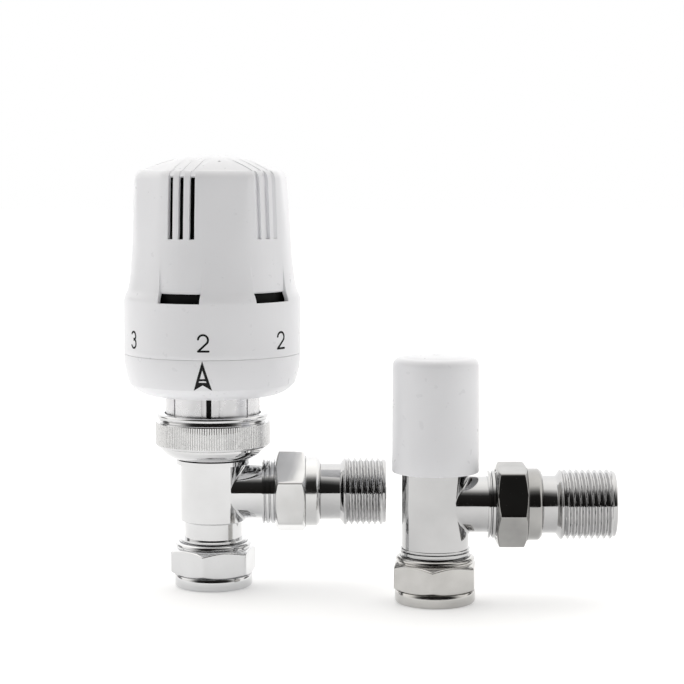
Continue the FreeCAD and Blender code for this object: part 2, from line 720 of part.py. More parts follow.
head = new_body("handwheel", turn="corner_angle")
turned(head, [("0", "head_bottom"), ("head_radius", "head_bottom"), ("head_radius", "head_step"),
              ("head_step_radius", "head_step + head_step_rise", "head_step_arc", "left"),
              ("head_flare_radius", "head_flare_top", "head_flare_arc", "right"),
              ("head_waist_radius", "head_waist"), ("head_shoulder_radius", "head_shoulder"),
              ("dome_radius", "dome_edge", "shoulder_arc", "left"), ("0", "head_top", "dome", "left")])
flat = extruded(head, "YZ_Plane", lambda sketch: outline(sketch, [
    ("head_radius + 12", "flat_foot"), ("head_radius + 12", "head_top + 6"),
    ("flat_top_apothem", "head_top + 6"), ("flat_top_apothem", "flat_top"),
    ("flat_foot_apothem", "flat_foot")]), "0", "60", cut=True)
flat.SideType = "Symmetric"
polar(head, flat, "corner_count")
turned(head, [("0", "head_bottom - 1"), ("head_radius - head_wall", "head_bottom - 1"),
              ("head_radius - head_wall", "head_step - 0.5"), ("hollow_step_radius", "hollow_step"),
              ("hollow_flare_radius", "head_flare_top"), ("hollow_top_radius", "hollow_top"),
              ("hollow_dome_radius", "hollow_dome_edge"), ("0", "head_top - roof_thick", "dome", "left")],
       cut=True)


def grouped_slots(sketch):
    """Three upright slots side by side."""
    for column in (-1, 0, 1):
        left = f"slot_pitch * {column} - slot_width / 2"
        outline(sketch, rectangle(left, "slot_bottom", f"{left} + slot_width", "slot_top"))


window = block(head, "XZ_Plane",
               ("-window_width / 2", "window_bottom", "window_width / 2", "window_top"), "18", "12", cut=True)
polar(head, window, "corner_count")
slots = extruded(head, "XZ_Plane", grouped_slots, "16", "12", cut=True)
polar(head, slots, "corner_count")

ring_foot = "head_bottom + 0.2"
ring_lip = "collar_bottom - 0.3"
hook = new_body("retaining_ring")
turned(hook, [("guide_radius + 1.4", ring_foot), ("head_radius - head_wall - 0.05", ring_foot),
              ("head_radius - head_wall - 0.05", "hook_top"),
              ("collar_radius + 0.4", "hook_top"), ("collar_radius + 0.4", ring_lip),
              ("guide_radius + 1.4", ring_lip)])

cage = new_body("drive_cage")
turned(cage, [("cage_bore", "hook_top"), ("head_radius - head_wall - 0.2", "hook_top"),
              ("head_radius - head_wall - 0.2", "hook_top + 2"),
              ("cage_radius", "hook_top + 2"), ("cage_radius", "cage_top"), ("cage_bore", "cage_top")])
opening = block(cage, "XY_Plane",
                ("cage_bore - 2", "-cage_slot_width / 2", "cage_radius + 1", "cage_slot_width / 2"),
                "cage_slot_bottom", "cage_top - cage_slot_bottom - 3.5", cut=True)
polar(cage, opening, "cage_slot_count")

# ---------------------------------------------------------------- sensor

carrier = new_body("sensor_carrier")
turned(carrier, [("carrier_bore", "carrier_floor"), ("carrier_radius", "carrier_floor"),
                 ("carrier_radius", "carrier_top"), ("sensor_radius + 0.05", "carrier_top"),
                 ("sensor_radius + 0.05", "sensor_bottom"), ("carrier_bore", "sensor_bottom")])
lug = block(carrier, "XY_Plane", ("sensor_radius + 0.5", "-lug_width / 2", "lug_reach", "lug_width / 2"),
            "lug_bottom", "lug_top - lug_bottom")
polar(carrier, lug, "3")

sensor = new_body("sensor_capsule")
boss_of_can = "carrier_bore - 0.1"
turned(sensor, [("0", "carrier_floor + 0.05"), (boss_of_can, "carrier_floor + 0.05"),
                (boss_of_can, "sensor_bottom"), ("sensor_radius - 1", "sensor_bottom"),
                ("sensor_radius", "sensor_bottom + 1"), ("sensor_radius", "sensor_top - 1.5"),
                ("sensor_radius - 1.5", "sensor_top"), ("0", "sensor_top")])

thrust = new_body("thrust_pin")
turned(thrust, [("0", "thrust_foot"), ("thrust_foot_radius - 0.6", "thrust_foot"),
                ("thrust_foot_radius", "thrust_foot + 0.6"), ("thrust_foot_radius", "thrust_foot + 3"),
                ("thrust_radius", "thrust_foot + 4"),
                ("thrust_radius", "carrier_floor"), ("0", "carrier_floor")])

coil_spring("overtravel_spring", "overtravel_radius", "overtravel_wire", "sensor_top",
            "carrier_top - spring_cap_thick", 3)

spring_cap = new_body("spring_cap")
turned(spring_cap, rectangle("3", "carrier_top - spring_cap_thick", "sensor_radius", "carrier_top"))

# ---------------------------------------------------------------- lockshield bonnet, spindle and cap

LOCKSHIELD = VALVES["ls"]["place"]

shield = new_body("ls_bonnet", LOCKSHIELD, turn="12")
turned(shield, [("0", "chamber_top"), ("shank_radius", "chamber_top"), ("shank_radius", "shield_body_top"),
                ("0", "shield_body_top")])
extruded(shield, "XY_Plane", lambda sketch: outline(sketch, hexagon("shield_hex_flats")),
         "shield_body_top", "shield_hex_top - shield_body_top")
turned(shield, rectangle("0", "shield_hex_top - 0.5", "boss_radius", "boss_top"))
gland_hole = "shield_gland_radius + 0.1"
turned(shield, [("0", "chamber_top - 1"), ("screw_radius + 0.3", "chamber_top - 1"),
                ("screw_radius + 0.3", "screw_hole_top"), ("spindle_radius + 0.3", "screw_hole_top"),
                ("spindle_radius + 0.3", "shield_packing"), (gland_hole, "shield_packing"),
                (gland_hole, "boss_top + 1"), ("0", "boss_top + 1")], cut=True)

bonnet_oring("ls_bonnet_oring", LOCKSHIELD)
ring("ls_spindle_oring", "spindle_radius + 0.02", "shield_gland_radius", "shield_packing + 0.05",
     "shield_packing_top - 0.05", LOCKSHIELD)

shield_gland = new_body("ls_gland_nut", LOCKSHIELD, turn="20")
extruded(shield_gland, "XY_Plane", lambda sketch: outline(sketch, hexagon("shield_gland_flats")),
         "boss_top", "shield_gland_top - boss_top")
turned(shield_gland, rectangle("0", "shield_packing_top", "shield_gland_radius", "boss_top + 0.5"))
turned(shield_gland, rectangle("0", "shield_packing", "spindle_radius + 0.3", "shield_gland_top + 1"),
       cut=True)

shield_spindle = new_body("ls_spindle", LOCKSHIELD)
turned(shield_spindle, [("0", "jumper_seat + 0.4"), ("jumper_pocket - 0.2", "jumper_seat + 0.4"),
                        ("jumper_pocket - 0.2", "jumper_seat + 3.2"), ("spindle_radius", "jumper_seat + 3.2"),
                        ("spindle_radius", "screw_bottom - 0.5"), ("screw_radius", "screw_bottom"),
                        ("screw_radius", "screw_top"), ("spindle_radius", "screw_top + 0.5"),
                        ("spindle_radius", "spindle_top - 0.5"), ("spindle_radius - 0.5", "spindle_top"),
                        ("0", "spindle_top")])
side = block(shield_spindle, "XY_Plane", ("spindle_square / 2", "-5", "8", "5"),
             "shield_gland_top + 1.6", "10", cut=True)
polar(shield_spindle, side, "4")

jumper = new_body("ls_jumper", LOCKSHIELD)
turned(jumper, [("0", "jumper_bottom - rivet_height"), ("seal_bore - 0.05", "jumper_bottom - rivet_height"),
                ("seal_bore - 0.05", "jumper_seat"), ("seal_radius", "jumper_seat"),
                ("seal_radius", "jumper_seat + 1.4"), ("jumper_pocket + 2", "jumper_seat + 3"),
                ("jumper_pocket", "jumper_seat + 3"), ("jumper_pocket", "jumper_seat + 0.3"),
                ("0", "jumper_seat + 0.3")])
ring("ls_jumper_washer", "seal_bore", "seal_radius - 0.1", "jumper_bottom", "jumper_seat", LOCKSHIELD)

cap = new_body("ls_cap", LOCKSHIELD)
turned(cap, [("cap_radius - cap_wall", "cap_bottom"), ("cap_radius", "cap_bottom"),
             ("cap_radius - 0.1", "cap_top - cap_edge"), ("cap_radius - 2", "cap_top - 0.75", "2", "left"),
             ("0", "cap_top", "dome", "left"), ("0", "cap_top - cap_roof + 0.2"),
             ("cap_radius - cap_wall", "cap_top - cap_roof - 0.2")])
turned(cap, rectangle("boss_radius + 0.2", "socket_bottom", "boss_radius + 0.2 + socket_wall", "cap_top - 2"))

# ---------------------------------------------------------------- check and write

document.recompute()
for item in document.Objects:
    if "Invalid" in item.State or "Error" in item.State:
        raise RuntimeError(f"{item.Name} did not compute: {item.State}")

bodies = [item for item in document.Objects if item.TypeId == "PartDesign::Body"]
for body in bodies:
    if body.Shape.isNull() or not body.Shape.isValid():
        raise RuntimeError(f"{body.Label} has no valid shape")

os.makedirs("parts", exist_ok=True)
for body in bodies:
    body.Shape.exportStep(f"parts/{body.Label}.step")
    solids = len(body.Shape.Solids)
    print(f"{body.Label}: {body.Shape.Volume:.1f} mm3 in {solids} solid(s)")
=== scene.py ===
from math import asin, atan2, ceil, cos, degrees, hypot, pi, radians, sin, sqrt, tau

import bmesh
import bpy
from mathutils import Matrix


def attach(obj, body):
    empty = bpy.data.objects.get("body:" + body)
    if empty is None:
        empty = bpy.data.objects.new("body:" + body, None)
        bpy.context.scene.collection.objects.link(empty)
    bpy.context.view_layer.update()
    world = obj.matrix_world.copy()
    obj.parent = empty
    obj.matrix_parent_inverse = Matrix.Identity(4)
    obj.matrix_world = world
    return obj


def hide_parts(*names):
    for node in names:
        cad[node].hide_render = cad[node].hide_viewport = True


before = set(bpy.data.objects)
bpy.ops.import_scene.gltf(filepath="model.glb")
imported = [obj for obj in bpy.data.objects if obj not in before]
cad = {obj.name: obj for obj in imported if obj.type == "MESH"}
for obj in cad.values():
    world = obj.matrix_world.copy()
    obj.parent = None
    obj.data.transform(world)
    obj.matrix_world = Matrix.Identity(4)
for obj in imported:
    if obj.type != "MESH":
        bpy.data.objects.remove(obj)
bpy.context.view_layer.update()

# ---------------------------------------------------------------- table, camera and studio
# A white table and a white room, with a long lens on the photographer's side of it. That side is
# dim above the table's edge, and two narrow dark cards stand behind: they give polished metal its
# dark bands.

table = bpy.data.objects.new("table", bpy.data.meshes.new("table"))
table_half = 4.0
table.data.from_pydata([(-table_half, -table_half, 0), (table_half, -table_half, 0),
                        (table_half, table_half, 0), (-table_half, table_half, 0)], [], [(0, 1, 2, 3)])
bpy.context.collection.objects.link(table)

table_paper = bpy.data.materials.new("table_paper")
table_paper.use_nodes = True
paper_shader = table_paper.node_tree.nodes["Principled BSDF"]
paper_shader.inputs["Base Color"].default_value = (0.8, 0.8, 0.8, 1)
paper_shader.inputs["Roughness"].default_value = 0.8
paper_shader.inputs["Specular IOR Level"].default_value = 0.1
paper_shader.inputs["Emission Color"].default_value = (1, 1, 1, 1)
paper_shader.inputs["Emission Strength"].default_value = 0.34
table.data.materials.append(table_paper)

middle_of_set = 0.0401
camera_distance = 0.65
camera_height = 0.136
camera_dip = 5.25
lens = bpy.data.cameras.new("camera")
lens.lens = 111
lens.sensor_width = 36
camera = bpy.data.objects.new("camera", lens)
camera.location = (middle_of_set, -camera_distance, camera_height)
camera.rotation_euler = (radians(90 - camera_dip), 0, 0)
bpy.context.collection.objects.link(camera)
bpy.context.scene.camera = camera

bpy.context.scene.view_settings.view_transform = "Standard"
world = bpy.data.worlds.new("studio")
bpy.context.scene.world = world
world.use_nodes = True
room = world.node_tree
room.nodes.clear()
direction = room.nodes.new("ShaderNodeTexCoord")
split = room.nodes.new("ShaderNodeSeparateXYZ")
room.links.new(direction.outputs["Generated"], split.inputs[0])
to_front = room.nodes.new("ShaderNodeMath")
to_front.operation = "MULTIPLY_ADD"
to_front.inputs[1].default_value = -0.5
to_front.inputs[2].default_value = 0.5
room.links.new(split.outputs["Y"], to_front.inputs[0])
walls = room.nodes.new("ShaderNodeValToRGB")
room.links.new(to_front.outputs[0], walls.inputs["Fac"])
walls.color_ramp.elements[0].color = (1, 1, 1, 1)
walls.color_ramp.elements[-1].color = (0.012, 0.011, 0.01, 1)
for place, shade in ((0.35, 1.0), (0.50, 0.9), (0.64, 0.78), (0.72, 0.46), (0.79, 0.14), (0.86, 0.02)):
    stop = walls.color_ramp.elements.new(place)
    stop.color = (shade, shade * 0.985, shade * 0.96, 1)
from_left = room.nodes.new("ShaderNodeMath")
from_left.operation = "MULTIPLY_ADD"
from_left.inputs[1].default_value = -0.04
from_left.inputs[2].default_value = 1.22
room.links.new(split.outputs["X"], from_left.inputs[0])
from_above = room.nodes.new("ShaderNodeMath")
from_above.operation = "MULTIPLY_ADD"
from_above.inputs[1].default_value = 0.42
room.links.new(split.outputs["Z"], from_above.inputs[0])
room.links.new(from_left.outputs[0], from_above.inputs[2])
strength = from_above.outputs[0]
for side in (-1, 1):
    facing = room.nodes.new("ShaderNodeVectorMath")
    facing.operation = "DOT_PRODUCT"
    facing.inputs[1].default_value = (side * 0.88, 0.48, 0.0)
    room.links.new(direction.outputs["Generated"], facing.inputs[0])
    card = room.nodes.new("ShaderNodeMapRange")
    card.inputs["From Min"].default_value = 0.955
    card.inputs["From Max"].default_value = 0.985
    card.inputs["To Min"].default_value = 1.0
    card.inputs["To Max"].default_value = 0.10
    room.links.new(facing.outputs["Value"], card.inputs["Value"])
    dimmed = room.nodes.new("ShaderNodeMath")
    dimmed.operation = "MULTIPLY"
    room.links.new(strength, dimmed.inputs[0])
    room.links.new(card.outputs["Result"], dimmed.inputs[1])
    strength = dimmed.outputs[0]
lit = room.nodes.new("ShaderNodeBackground")
room.links.new(walls.outputs["Color"], lit.inputs["Color"])
room.links.new(strength, lit.inputs["Strength"])
backdrop = room.nodes.new("ShaderNodeBackground")
backdrop.inputs["Color"].default_value = (1, 1, 1, 1)
seen = room.nodes.new("ShaderNodeLightPath")
choose = room.nodes.new("ShaderNodeMixShader")
room.links.new(seen.outputs["Is Camera Ray"], choose.inputs[0])
room.links.new(lit.outputs[0], choose.inputs[1])
room.links.new(backdrop.outputs[0], choose.inputs[2])
output = room.nodes.new("ShaderNodeOutputWorld")
room.links.new(choose.outputs[0], output.inputs[0])

# ---------------------------------------------------------------- valve bodies
# The two angle bodies and the bowl of the thermostatic valve are forged brass, polished and
# chromium plated. Polishing leaves slow waves in the plate and a few hazy patches.

mm = 0.001
trv_axis = (0.0, 0.0)
ls_axis = (68.1, -24.0)
branch_height = 29.6


def finish(name, colour, metallic, roughness):
    """A material, its node tree and its shader."""
    material = bpy.data.materials.new(name)
    material.use_nodes = True
    shader = material.node_tree.nodes["Principled BSDF"]
    shader.inputs["Base Color"].default_value = (*colour, 1)
    shader.inputs["Metallic"].default_value = metallic
    shader.inputs["Roughness"].default_value = roughness
    return material, material.node_tree, shader


def cloudy(tree, scale, stretch=(1, 1, 1), detail=3.0):
    """Noise on the piece's own coordinates, in features per metre."""
    place = tree.nodes.new("ShaderNodeTexCoord")
    mapping = tree.nodes.new("ShaderNodeMapping")
    mapping.inputs["Scale"].default_value = stretch
    noise = tree.nodes.new("ShaderNodeTexNoise")
    noise.inputs["Scale"].default_value = scale
    noise.inputs["Detail"].default_value = detail
    tree.links.new(place.outputs["Object"], mapping.inputs["Vector"])
    tree.links.new(mapping.outputs["Vector"], noise.inputs["Vector"])
    return noise.outputs["Fac"]


def vary(tree, pattern, socket, low, high):
    """Spread a pattern between two values of a shader's number."""
    spread = tree.nodes.new("ShaderNodeMapRange")
    spread.inputs["From Min"].default_value = 0.3
    spread.inputs["From Max"].default_value = 0.7
    spread.inputs["To Min"].default_value = low
    spread.inputs["To Max"].default_value = high
    tree.links.new(pattern, spread.inputs["Value"])
    tree.links.new(spread.outputs["Result"], socket)


def tint(tree, pattern, socket, dark, light):
    """Spread a pattern between two colours."""
    ramp = tree.nodes.new("ShaderNodeValToRGB")
    ramp.color_ramp.elements[0].position = 0.35
    ramp.color_ramp.elements[0].color = (*dark, 1)
    ramp.color_ramp.elements[1].position = 0.65
    ramp.color_ramp.elements[1].color = (*light, 1)
    tree.links.new(pattern, ramp.inputs["Fac"])
    tree.links.new(ramp.outputs["Color"], socket)


def relief(tree, pattern, shader, depth):
    """Let a pattern stand up from the surface by a depth in metres."""
    bump = tree.nodes.new("ShaderNodeBump")
    bump.inputs["Distance"].default_value = depth
    tree.links.new(pattern, bump.inputs["Height"])
    tree.links.new(bump.outputs["Normal"], shader.inputs["Normal"])


def wear(name, material):
    """Give a CAD node its finish."""
    cad[name].data.materials.clear()
    cad[name].data.materials.append(material)


def plate(name, dark, light, low, high):
    """Polished plate with a tint and a haze that drift over it."""
    material, tree, shader = finish(name, light, 1, low)
    vary(tree, cloudy(tree, 160), shader.inputs["Roughness"], low, high)
    tint(tree, cloudy(tree, 90), shader.inputs["Base Color"], dark, light)
    relief(tree, cloudy(tree, 240, detail=1.5), shader, 0.000012)
    return material


chrome = plate("chrome", (0.63, 0.632, 0.637), (0.67, 0.673, 0.68), 0.03, 0.085)
# A darker copy of the chrome, worn by the lockshield body and both tails; its lower colour is painted
# shade.
shade_painted_chrome = plate("shade_painted_chrome", (0.48, 0.48, 0.483), (0.52, 0.52, 0.523), 0.04, 0.1)
# A darker, browner copy of the chrome for the lockshield's compression nut: painted shade.
nut_shade_painted_chrome = plate("nut_shade_painted_chrome", (0.49, 0.482, 0.468), (0.58, 0.572, 0.557), 0.07, 0.15)
for name, material in (("trv_body", chrome), ("trv_bonnet", chrome), ("ls_body", shade_painted_chrome)):
    wear(name, material)

# ---------------------------------------------------------------- compression nuts
# A hexagon nut with a turned foot and a round collar on top, 24 mm across its flats, screwed up
# under each body. It is hot pressed brass, faced and chamfered on a lathe.


def link(piece, body, material, replaced=()):
    """Put a finished piece in the scene, give it its finish and its body, and hide the CAD nodes it
    replaces.
    """
    bpy.context.collection.objects.link(piece)
    piece.data.materials.append(material)
    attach(piece, body)
    if replaced:
        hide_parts(*replaced)
    return piece


def sharpen(form, limit):
    """Smooth shading that breaks at edges steeper than the limit."""
    form.normal_update()
    for face in form.faces:
        face.smooth = True
    for edge in form.edges:
        edge.smooth = len(edge.link_faces) == 2 and edge.calc_face_angle(pi) < radians(limit)


def to_piece(name, form, limit=34):
    bmesh.ops.recalc_face_normals(form, faces=form.faces)
    sharpen(form, limit)
    mesh = bpy.data.meshes.new(name)
    form.to_mesh(mesh)
    form.free()
    return bpy.data.objects.new(name, mesh)


def add_turned(form, rings, angles, axis, lying=False):
    """Turn a closed loop of (reach, height) rings about an upright or a lying axis. A reach is
    a number or a function of the angle and 0 is a pole; all sizes are in millimetres."""
    loops = []
    for reach, height in rings:
        loop = []
        for angle in angles if reach != 0 else [0]:
            radius = reach(angle) if callable(reach) else reach
            across, up = radius * cos(angle), radius * sin(angle)
            if lying:
                spot = (axis[0] + height, axis[1] + across, branch_height + up)
            else:
                spot = (axis[0] + across, axis[1] + up, height)
            loop.append(form.verts.new([part * mm for part in spot]))
        loops.append(loop)
    count = len(angles)
    for lower, upper in zip(loops, loops[1:] + loops[:1]):
        if len(lower) == 1 and len(upper) == 1:
            continue
        for step in range(count):
            following = (step + 1) % count
            if len(lower) == 1:
                form.faces.new((lower[0], upper[following], upper[step]))
            elif len(upper) == 1:
                form.faces.new((lower[step], lower[following], upper[0]))
            else:
                form.faces.new((lower[step], lower[following], upper[following], upper[step]))


def turned(name, rings, angles, axis=trv_axis, lying=False, limit=34):
    form = bmesh.new()
    add_turned(form, rings, angles, axis, lying)
    return to_piece(name, form, limit)


def lesser(first, second, soft):
    """The lesser of two sizes, rounded where they meet."""
    blend = max(soft - abs(first - second), 0) / soft
    return min(first, second) - blend * blend * soft / 4


def hexagon_reach(flats, first_corner, angle):
    """How far a hexagon with slightly rounded corners reaches at an angle."""
    off_flat = (angle - radians(first_corner)) % (tau / 6) - tau / 12
    return lesser(flats / 2 / cos(off_flat), flats / sqrt(3) - 0.1, 0.35)


def hexagon_angles(first_corner):
    """Angles that crowd towards the six corners."""
    near = (0.35, 0.8, 1.5, 2.6, 4, 6, 9, 13, 18, 24)
    steps = [0, *near, 30, *(60 - step for step in reversed(near))]
    return [radians(first_corner + 60 * corner + step) for corner in range(6) for step in steps]


def hexagon_rings(flats, first_corner, low, high, chamfer, land):
    """Rings up the outside of a hexagon that is chamfered at its low end, its high end or both."""
    edge = (0, 0.08, 0.16, 0.28, 0.42, 0.56, 0.7, 0.84, 0.98, 1.12, 1.26, 1.45)
    middle = (low + high) / 2
    heights = [low + step for step in edge] + [middle] + [high - step for step in reversed(edge)]
    steep = (flats / sqrt(3) + 1 - flats / 2 + land) / chamfer

    def at(height):
        cone = flats / 2 - land + min(height - low, high - height) * steep
        return lambda angle: lesser(hexagon_reach(flats, first_corner, angle), cone, 0.3)
    return [(at(height), height) for height in heights]


nut_foot = 12.1
nut_top = 12.3
nut_flats = 24.0
pipe = 7.6


def make_compression_nut(name, node, body, axis, first_corner, material):
    rings = [(pipe, 0.0), (nut_foot - 0.9, 0.0), (nut_foot - 0.5, 0.12), (nut_foot - 0.15, 0.45),
             (nut_foot, 0.9), (nut_foot, 2.4), (nut_foot, 3.7), (nut_foot - 0.12, 3.92),
             (nut_foot - 0.5, 4.0)]
    rings += hexagon_rings(nut_flats, first_corner, 4.0, nut_top, 1.7, 0.4)
    collar = [(11.35, 0.1), (11.3, 0.4), (11.7, 0.65), (11.85, 0.95), (11.8, 1.3), (11.5, 1.65),
              (11.0, 1.85), (10.6, 1.85), (10.55, -0.4)]
    rings += [(reach, nut_top + rise) for reach, rise in collar] + [(10.55, 8.2), (pipe, 5.0)]
    piece = turned(name, rings, hexagon_angles(first_corner), axis)
    link(piece, body, material, [node])


make_compression_nut("trv_pipe_nut", "trv_compression_nut", "trv_pipe_nut", trv_axis, 19.4, chrome)
# The lockshield's nut wears the darker copy of the chrome: painted shade.
make_compression_nut("ls_pipe_nut", "ls_compression_nut", "ls_pipe_nut", ls_axis, 24.4, nut_shade_painted_chrome)

# ---------------------------------------------------------------- olives, springs and seals
# Small parts that the plated ones hold: turned brass olives, gland and jumper, wire springs and
# clips, and black rubber seals. Most are out of sight until the cap is lifted.

brass, tree, shader = finish("turned_brass", (0.80, 0.62, 0.32), 1, 0.24)
vary(tree, cloudy(tree, 500, (1, 1, 9)), shader.inputs["Roughness"], 0.16, 0.34)
tint(tree, cloudy(tree, 60), shader.inputs["Base Color"], (0.74, 0.55, 0.26), (0.82, 0.64, 0.34))
relief(tree, cloudy(tree, 900, (0.2, 0.2, 6)), shader, 0.00001)
for name in ("trv_gland", "trv_olive", "ls_olive", "ls_bonnet", "ls_gland_nut", "ls_spindle", "ls_jumper",
             "valve_disc"):
    wear(name, brass)

wire, tree, shader = finish("drawn_steel", (0.60, 0.60, 0.61), 1, 0.28)
vary(tree, cloudy(tree, 800, (6, 6, 1)), shader.inputs["Roughness"], 0.2, 0.36)
for name in ("trv_snap_ring", "ls_snap_ring", "coupling_circlip", "valve_spindle", "spindle_spring",
             "overtravel_spring"):
    wear(name, wire)

rubber, tree, shader = finish("black_rubber", (0.02, 0.02, 0.02), 0, 0.6)
vary(tree, cloudy(tree, 700), shader.inputs["Roughness"], 0.5, 0.72)
relief(tree, cloudy(tree, 2500), shader, 0.00001)
for name in ("trv_bonnet_oring", "trv_spindle_oring", "trv_tail_oring", "ls_tail_oring", "ls_bonnet_oring",
             "ls_spindle_oring", "valve_seal", "ls_jumper_washer"):
    wear(name, rubber)

# ---------------------------------------------------------------- union nuts
# The loose nut that draws each tail on to its body: 23 mm across flats with a turned nose behind
# it. It is plated over a machined face, so its flats are slightly satin.

satin_chrome = plate("satin_chrome", (0.60, 0.60, 0.597), (0.68, 0.68, 0.68), 0.07, 0.16)
# A much darker copy of the plate for the lockshield's union nut: painted shade on its facets.
union_shade_painted_chrome = plate("union_shade_painted_chrome", (0.34, 0.337, 0.33), (0.42, 0.416, 0.407), 0.05, 0.12)
union_flats = 23.0
nose = 10.8
union_bore = 10.6
tail_sleeve = 8.65


def make_union_nut(name, node, body, axis, start, first_corner, material):
    end = start + 9.3
    nose_end = end + 4.4
    rings = [(union_bore, start + 0.3), (union_bore + 0.3, start)]
    rings += hexagon_rings(union_flats, first_corner, start, end, 1.5, 0.5)
    rings += [(nose + 0.35, end), (nose + 0.1, end + 0.08), (nose, end + 0.35), (nose, nose_end - 1.3),
              (nose - 0.12, nose_end - 0.9), (nose - 0.9, nose_end - 0.12), (nose - 1.3, nose_end),
              (tail_sleeve + 0.35, nose_end), (tail_sleeve + 0.25, nose_end - 0.15),
              (tail_sleeve + 0.25, 27.0), (union_bore, 27.0)]
    piece = turned(name, rings, hexagon_angles(first_corner), axis, lying=True)
    link(piece, body, material, [node])


make_union_nut("trv_branch_nut", "trv_union_nut", "trv_branch_nut", trv_axis, 19.6, -19, satin_chrome)
# The lockshield's union nut wears the darkest copy of the plate: painted shade.
make_union_nut("ls_branch_nut", "ls_union_nut", "ls_branch_nut", ls_axis, 18.0, 8, union_shade_painted_chrome)

# ---------------------------------------------------------------- radiator tails
# Each tail is turned from bar: a smooth sleeve for the union, then a half inch pipe thread,
# 14 to the inch, rolled in a helix, and a hexagon socket in its end for the fitter's key.

half_inch = 10.4775
pitch = 1.814
thread_depth = 1.05
tail_end = 53.7
water_bore = 6.0
key_flats = 12.2


def thread_reach(along, start):
    """The reach of the helical thread at a place along the tail, as a function of the angle."""
    def reach(angle):
        turn = ((along - start) / pitch - angle / tau) % 1
        ridge = min(abs(turn - 0.5) * 2, 1)
        cut = min(max((ridge - 0.16) / 0.68, 0), 1)
        run_in = min(max((along - start) / 1.2, 0), 1) * min(max((tail_end - 0.2 - along) / 1.4, 0), 1)
        lead = min(max((tail_end - along) / 1.2, 0), 1)
        return half_inch - thread_depth * cut * run_in - (1 - lead) * 0.9
    return reach


def make_tail(name, node, axis, thread_start, material):
    sleeve = [(7.3, 21.5), (7.3, 23.4), (tail_sleeve, 23.45), (tail_sleeve, thread_start - 0.3),
              (tail_sleeve + 0.15, thread_start - 0.05), (half_inch - 0.5, thread_start + 0.75),
              (half_inch - 0.12, thread_start + 1.05)]
    rows = ceil((tail_end - thread_start - 1.2) * 15 / pitch)
    step = (tail_end - thread_start - 1.2) / rows
    threads = [(thread_reach(thread_start + 1.2 + row * step, thread_start + 1.2),
                thread_start + 1.2 + row * step) for row in range(rows + 1)]
    socket = [(7.6, tail_end), (7.2, tail_end - 0.25),
              (lambda angle: hexagon_reach(key_flats, 0, angle), tail_end - 0.45),
              (lambda angle: hexagon_reach(key_flats, 0, angle), tail_end - 9.0),
              (water_bore, tail_end - 9.0)]
    rings = [(water_bore, 20.4), (tail_sleeve - 0.4, 20.4), (tail_sleeve, 20.8), (tail_sleeve, 21.45)]
    rings += sleeve + threads + socket
    angles = [tau * step / 96 for step in range(96)]
    piece = turned(name, rings, angles, axis, lying=True, limit=48)
    link(piece, "valves", material, [node])


# Both tails wear the darker copy of the chrome: painted shade.
make_tail("trv_radiator_tail", "trv_tail", trv_axis, 39.7, shade_painted_chrome)
make_tail("ls_radiator_tail", "ls_tail", ls_axis, 36.1, shade_painted_chrome)

# ---------------------------------------------------------------- neck of the head
# The head stands on a short silver plastic collet. Its fingers are parted by narrow slits, and a
# black strip in front marks where the pointer goes. A wire clip holds the coupling nut on it.

silver, tree, shader = finish("silver_plastic", (0.70, 0.70, 0.71), 0.85, 0.3)
vary(tree, cloudy(tree, 300), shader.inputs["Roughness"], 0.24, 0.34)
tint(tree, cloudy(tree, 120), shader.inputs["Base Color"], (0.68, 0.68, 0.69), (0.73, 0.73, 0.74))
relief(tree, cloudy(tree, 1500), shader, 0.000005)

neck = 14.5
slits = [-148, -116, -84, -50, -9, 11, 50, 84, 116, 148, 178]


def collet_reach(depth):
    """The neck's radius, less the slits' depth where the angle falls in one."""
    def reach(angle):
        azimuth = degrees(atan2(cos(angle), -sin(angle)))
        return neck - depth * any(abs(azimuth - slit) < 1.15 for slit in slits)
    return reach


slit_sides = [slit + side for slit in slits for side in (-1.3, -1.1, 1.1, 1.3)]
plain = [azimuth for azimuth in range(-178, 180, 4)
         if all(abs(azimuth - side) > 1.5 for side in slit_sides)]
neck_angles = sorted(radians(azimuth - 90) for azimuth in plain + slit_sides)
neck_rings = [(12.4, 50.02), (14.3, 50.02), (14.3, 51.25), (13.6, 51.25), (13.6, 52.35), (14.3, 52.35),
              (14.3, 52.8), (neck, 53.0), (collet_reach(0.0), 54.5), (collet_reach(0.45), 54.55),
              (collet_reach(0.45), 59.9), (collet_reach(0.0), 60.0), (neck, 60.35), (14.4, 60.4),
              (14.4, 63.0), (17.5, 63.0), (17.5, 64.6), (12.4, 64.6)]
collet = turned("neck_collet", neck_rings, neck_angles)
link(collet, "valves", silver, ["neck_sleeve"])

black, tree, shader = finish("black_plastic", (0.003, 0.003, 0.003), 0, 0.55)
shader.inputs["Specular IOR Level"].default_value = 0.12
vary(tree, cloudy(tree, 600), shader.inputs["Roughness"], 0.48, 0.65)
relief(tree, cloudy(tree, 3000), shader, 0.00001)
for name in ("index_strip", "guide_cage", "sensor_carrier", "retaining_ring", "spring_cap", "thrust_pin"):
    wear(name, black)

# ---------------------------------------------------------------- coupling nut
# The nut that holds the head on the valve's M30 thread: a plated ring with a polished lip, and
# below it a finely knurled band for the fingers. The knurl is ribs all round, cut straight.

ring_angles = [tau * step / 144 for step in range(144)]
coupling_rings = [(15.2, 44.1), (16.7, 44.1), (17.15, 44.2), (17.38, 44.5), (17.4, 44.8), (17.4, 51.5),
                  (17.35, 51.75), (16.8, 51.95), (16.6, 52.1), (16.55, 52.4), (16.7, 52.7), (17.1, 53.1),
                  (17.25, 53.5), (17.2, 53.95), (16.95, 54.3), (16.6, 54.4), (14.9, 54.4), (14.9, 52.8),
                  (16.2, 52.8), (16.2, 50.9), (15.2, 50.9)]
coupling = turned("coupling_ring", coupling_rings, ring_angles)
link(coupling, "head_coupling", chrome, ["coupling_nut"])

knurl_steel, tree, shader = finish("knurled_chrome", (0.66, 0.66, 0.66), 1, 0.2)
vary(tree, cloudy(tree, 900), shader.inputs["Roughness"], 0.16, 0.3)


